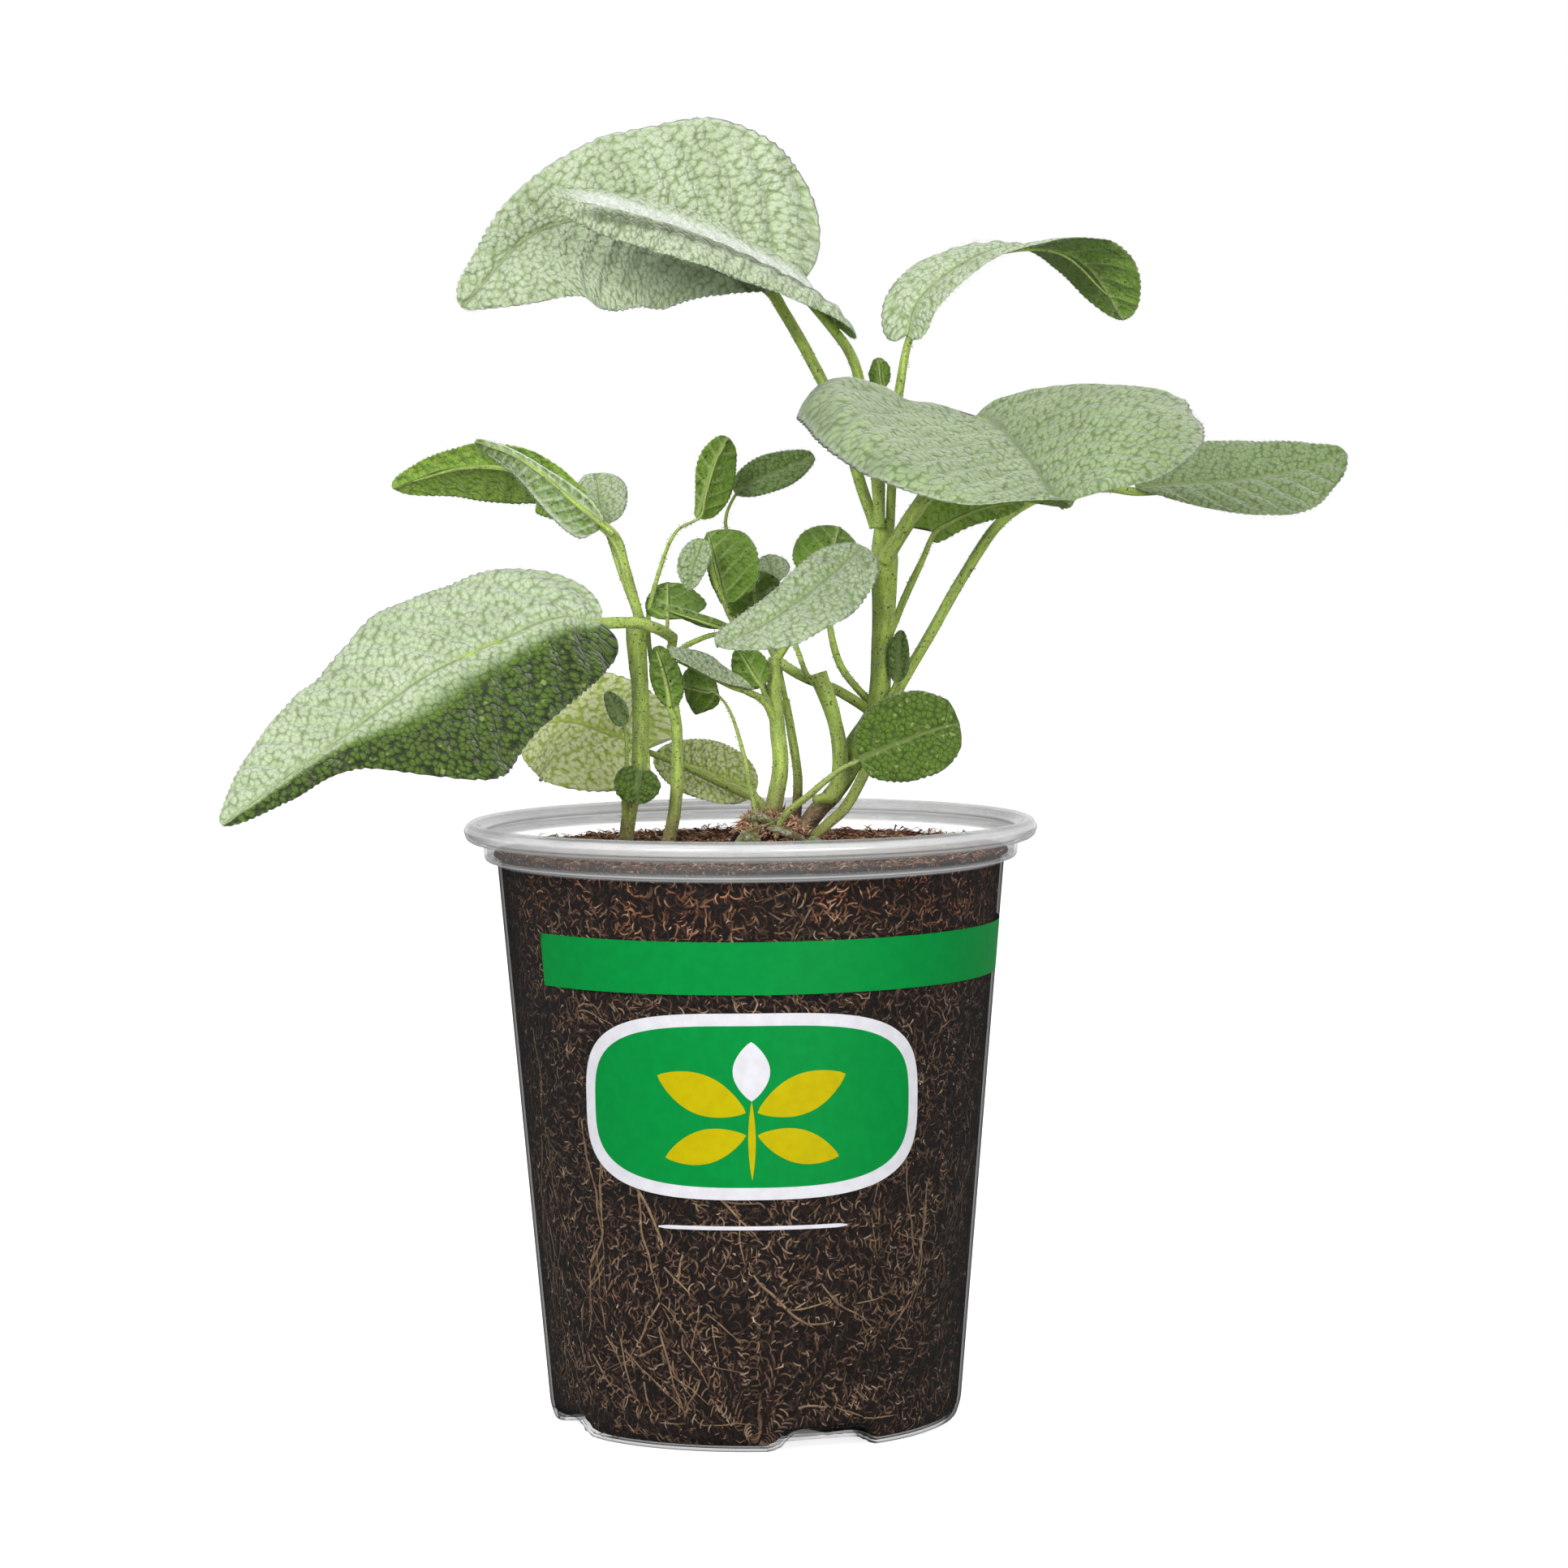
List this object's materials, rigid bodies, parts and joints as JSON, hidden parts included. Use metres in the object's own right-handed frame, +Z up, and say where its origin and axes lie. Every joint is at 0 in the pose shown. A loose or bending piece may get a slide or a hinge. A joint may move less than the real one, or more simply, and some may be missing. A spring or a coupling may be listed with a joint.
{
  "type": "potted common sage",
  "caption": "Young common sage with pebbled grey-green leaves on slim stems, growing in potting mix in a thin, clear, tapered nursery pot with feet and drain holes.",
  "frame": {"origin": "middle of the pot's flat base, on the surface that it stands on", "axes": "+Z up along the pot's axis, -Y towards the viewer of the picture, +X to that viewer's right"},
  "size_m": [0.2015, 0.1179, 0.2354],
  "materials": {
    "clear_plastic": "thin clear thermoformed plastic, glossy",
    "potting_mix": "moist fibrous peat and coir, matt",
    "stem": "green stem with fine hairs, woody at the foot",
    "leaf": "pebbled and downy, matt grey-green",
    "young_leaf": "pebbled, fresh green, slightly satin"
  },
  "bodies": {
    "root": {"pot": "clear_plastic", "potting_mix": "potting_mix", "stem_main": "stem", "stem_centre": "stem", "stem_thin": "stem", "stem_middle": "stem", "stem_left": "stem", "leaf_top_left": "leaf", "leaf_edge_on": "leaf", "leaf_arching_right": "leaf", "leaf_broad_front": "leaf", "leaf_far_right": "leaf", "leaf_under_broad": "leaf", "leaf_left_big": "leaf", "leaf_arching_left": "leaf", "leaf_behind_left": "leaf", "leaf_pale_front": "leaf", "leaf_low_dark": "young_leaf", "leaf_round_left": "young_leaf", "leaf_behind_right": "young_leaf", "leaf_low_mid": "young_leaf"}
  },
  "joints": []
}
